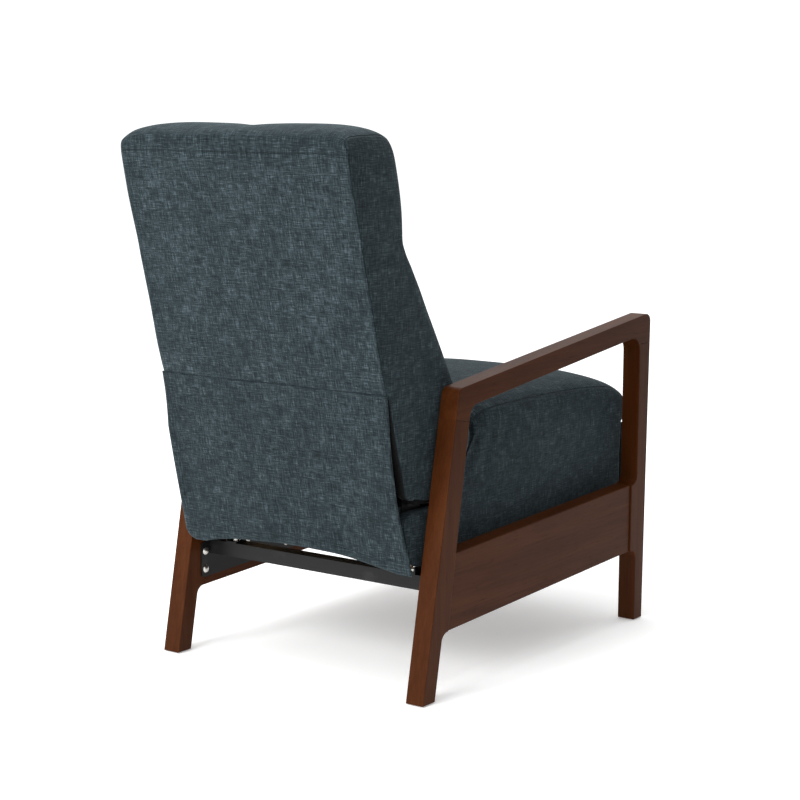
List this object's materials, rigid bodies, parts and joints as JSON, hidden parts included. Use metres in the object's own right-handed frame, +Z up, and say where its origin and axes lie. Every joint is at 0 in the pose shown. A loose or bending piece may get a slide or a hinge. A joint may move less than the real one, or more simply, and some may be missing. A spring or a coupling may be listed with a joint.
{
  "type": "recliner armchair",
  "caption": "Push-back recliner armchair with open wooden side frames, padded seat and high back, a folding footrest and a loose rear flap.",
  "frame": {"origin": "middle of the chair's footprint, on the floor", "axes": "+Z up, the chair faces -Y, and the sitter's right hand is at -X"},
  "size_m": [0.612, 0.9286, 0.9993],
  "materials": {
    "show_wood": "satin",
    "frame_wood": "matte",
    "upholstery": "matte",
    "webbing": "matte",
    "black_steel": "satin",
    "zinc": "satin",
    "glide": "matte"
  },
  "bodies": {
    "frame": {"armrest_left": "show_wood", "armrest_right": "show_wood", "rear_leg_left": "show_wood", "rear_leg_right": "show_wood", "front_leg_left": "show_wood", "front_leg_right": "show_wood", "apron_left": "show_wood", "apron_right": "show_wood", "frame_dowels": "frame_wood", "foot_glides": "glide", "side_plate_left": "black_steel", "side_plate_right": "black_steel", "side_plate_bolts": "zinc", "rear_cross_bar": "black_steel", "front_cross_bar": "black_steel", "cross_bar_bolts": "zinc", "base_rails": "black_steel", "base_pivot_pins": "zinc"},
    "rear_swing": {"rear_swing_links": "black_steel"},
    "front_swing": {"front_swing_links": "black_steel"},
    "control": {"back_control_links": "black_steel"},
    "seat": {"seat_plates": "black_steel", "seat_side_rail_left": "frame_wood", "seat_side_rail_right": "frame_wood", "seat_front_rail": "frame_wood", "seat_rear_rail": "frame_wood", "seat_springs": "zinc", "seat_cushion": "upholstery", "seat_cover": "upholstery", "seat_plate_screws": "zinc", "seat_plate_pins": "zinc"},
    "back": {"back_post_left": "frame_wood", "back_post_right": "frame_wood", "back_top_rail": "frame_wood", "back_middle_rail": "frame_wood", "back_lower_rail": "frame_wood", "back_webbing": "webbing", "back_cushion": "upholstery", "head_cushion": "upholstery", "back_rear_panel": "upholstery", "back_border": "upholstery", "back_brackets": "black_steel", "back_bracket_bolts": "zinc", "back_control_pins": "zinc"},
    "flap": {"rear_flap": "upholstery"},
    "rear_link": {"footrest_rear_links": "black_steel", "footrest_cross_tube": "black_steel", "rear_link_pins": "zinc"},
    "front_link": {"footrest_front_links": "black_steel"},
    "outer_link": {"footrest_outer_links": "black_steel", "outer_link_pins": "zinc"},
    "inner_link": {"footrest_inner_links": "black_steel"},
    "footrest": {"footrest_board": "frame_wood", "footrest_pad": "upholstery", "footrest_brackets": "black_steel", "footrest_screws": "zinc", "footrest_pins": "zinc"}
  },
  "joints": [
    {"name": "back_recline", "type": "hinge", "parent": "seat", "child": "back", "pos_m": [0, 0.27166, 0.352], "axis": [-1, 0, 0], "range_deg": [0, 32]},
    {"name": "rear_swing_turn", "type": "hinge", "parent": "frame", "child": "rear_swing", "pos_m": [0, 0.18366, 0.205], "axis": [1, 0, 0], "range_deg": [0, 45]},
    {"name": "seat_on_rear_swing", "type": "hinge", "parent": "rear_swing", "child": "seat", "pos_m": [0, 0.24102, 0.28692], "axis": [-1, 0, 0], "range_deg": [0, 45]},
    {"name": "front_swing_turn", "type": "hinge", "parent": "frame", "child": "front_swing", "pos_m": [0, 0.00366, 0.205], "axis": [1, 0, 0], "range_deg": [0, 45]},
    {"name": "back_control_turn", "type": "hinge", "parent": "frame", "child": "control", "pos_m": [0, 0.21436, 0.262], "axis": [1, 0, 0], "range_deg": [0, 24.9]},
    {"name": "rear_flap_hang", "type": "hinge", "parent": "back", "child": "flap", "pos_m": [0, 0.37343, 0.545], "axis": [1, 0, 0], "range_deg": [0, 32]},
    {"name": "footrest_rear_link_turn", "type": "hinge", "parent": "seat", "child": "rear_link", "pos_m": [0, -0.27634, 0.315], "axis": [-1, 0, 0], "range_deg": [0, 110]},
    {"name": "footrest_front_link_turn", "type": "hinge", "parent": "seat", "child": "front_link", "pos_m": [0, -0.217, 0.29703], "axis": [-1, 0, 0], "range_deg": [0, 110]},
    {"name": "footrest_outer_link_turn", "type": "hinge", "parent": "rear_link", "child": "outer_link", "pos_m": [0, -0.13987, 0.17853], "axis": [1, 0, 0], "range_deg": [0, 110]},
    {"name": "footrest_inner_link_turn", "type": "hinge", "parent": "rear_link", "child": "inner_link", "pos_m": [0, -0.1031, 0.14176], "axis": [1, 0, 0], "range_deg": [0, 110]},
    {"name": "footrest_tilt", "type": "hinge", "parent": "outer_link", "child": "footrest", "pos_m": [0, -0.39087, 0.25453], "axis": [-1, 0, 0], "range_deg": [0, 110]}
  ],
  "couplings": [
    {"joint": "rear_swing_turn", "follows": "back_recline", "ratio": 1.4062},
    {"joint": "seat_on_rear_swing", "follows": "back_recline", "ratio": 1.4062},
    {"joint": "front_swing_turn", "follows": "back_recline", "ratio": 1.4062},
    {"joint": "back_control_turn", "follows": "back_recline", "ratio": 0.7761},
    {"joint": "rear_flap_hang", "follows": "back_recline", "ratio": 1},
    {"joint": "footrest_rear_link_turn", "follows": "back_recline", "ratio": 3.4375},
    {"joint": "footrest_front_link_turn", "follows": "back_recline", "ratio": 3.4375},
    {"joint": "footrest_outer_link_turn", "follows": "back_recline", "ratio": 3.4375},
    {"joint": "footrest_inner_link_turn", "follows": "back_recline", "ratio": 3.4375},
    {"joint": "footrest_tilt", "follows": "back_recline", "ratio": 3.4375}
  ]
}
